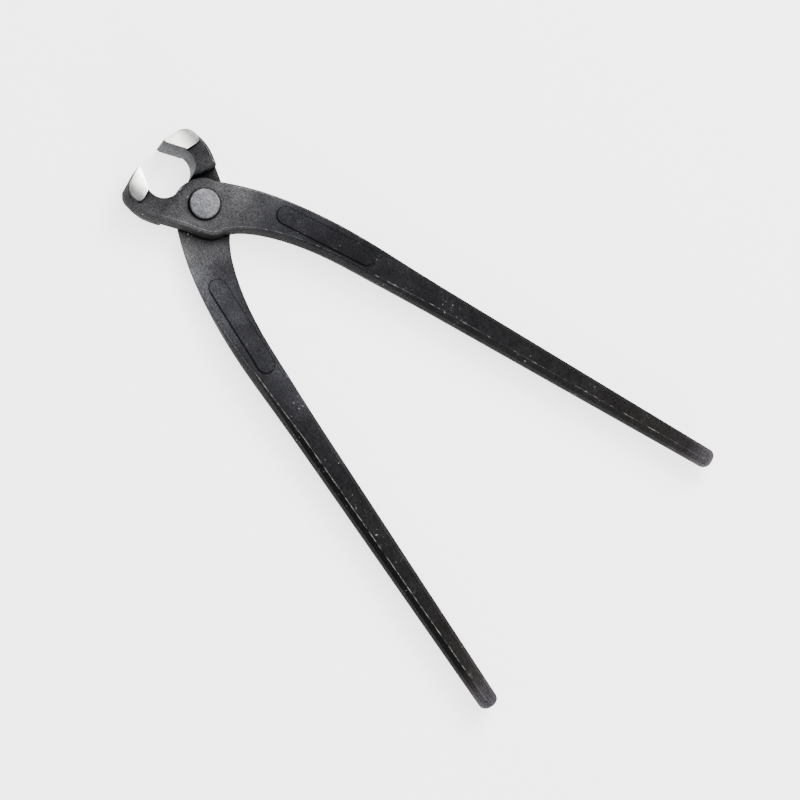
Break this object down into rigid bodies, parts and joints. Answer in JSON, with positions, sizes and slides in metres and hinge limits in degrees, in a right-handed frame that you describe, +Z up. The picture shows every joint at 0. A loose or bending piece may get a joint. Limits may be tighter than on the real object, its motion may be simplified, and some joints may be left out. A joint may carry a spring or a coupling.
{
  "type": "end cutting nippers",
  "caption": "End cutting nippers with forged levers that cross on a rivet, ground jaws and plain tapered handles, half open",
  "frame": {"origin": "centre of the lower rivet head's flat face, on the rivet axis", "axes": "+X along the handles away from the jaws, +Y across the tool to the handle on top of the lap, +Z up along the rivet axis"},
  "size_m": [0.2179, 0.125, 0.0153],
  "materials": {
    "forged_steel": "dark forging skin with a fine grain, ground bright on the jaws",
    "rivet_steel": "mid grey, slightly pitted"
  },
  "bodies": {
    "front": {"front_lever": "forged_steel", "rivet": "rivet_steel"},
    "rear": {"rear_lever": "forged_steel"}
  },
  "joints": [
    {"name": "rivet_hinge", "type": "hinge", "parent": "front", "child": "rear", "pos_m": [0, 0, 0.00765], "axis": [0, 0, 1], "range_deg": [-37, 28]}
  ]
}
